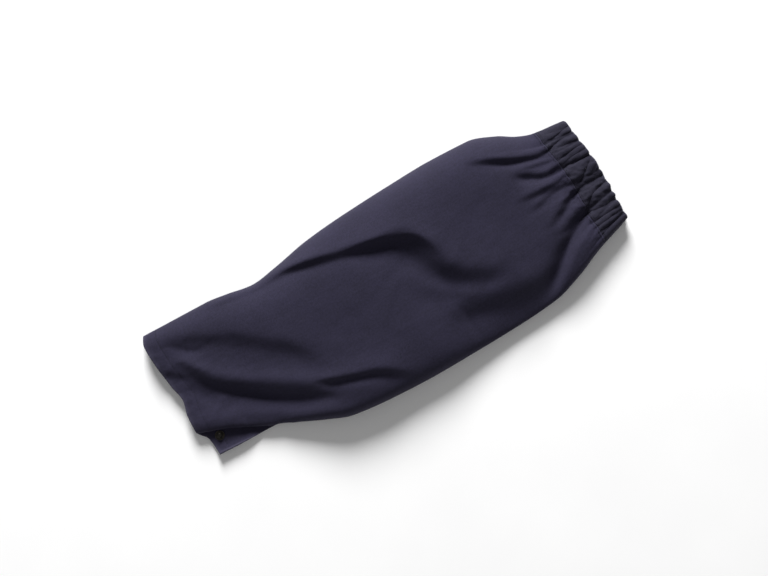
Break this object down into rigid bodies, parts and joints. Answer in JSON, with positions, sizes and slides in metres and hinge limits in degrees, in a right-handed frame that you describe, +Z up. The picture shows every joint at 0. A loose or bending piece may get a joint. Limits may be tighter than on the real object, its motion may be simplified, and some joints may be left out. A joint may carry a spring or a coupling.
{
  "type": "welding sleeve",
  "caption": "Cotton work sleeve for the arm: a tapered tube with a gathered elastic casing at the upper arm and a hemmed wrist end with a slit and a press snap.",
  "frame": {"origin": "middle of the base, where the sleeve lies on the surface", "axes": "+X from the wrist end to the upper arm end, +Y from the slit side to the folded side, +Z up"},
  "size_m": [0.5476, 0.216, 0.0421],
  "materials": {
    "twill": "matt cotton twill",
    "casing_twill": "gathered matt cotton twill",
    "snap_metal": "blackened, satin"
  },
  "bodies": {
    "root": {"sleeve_body": "twill", "arm_casing": "casing_twill", "wrist_hem": "twill", "slit_hem_upper": "twill", "slit_hem_lower": "twill", "snap_cap": "snap_metal", "snap_socket": "snap_metal", "snap_stud": "snap_metal", "snap_post": "snap_metal"}
  },
  "joints": []
}
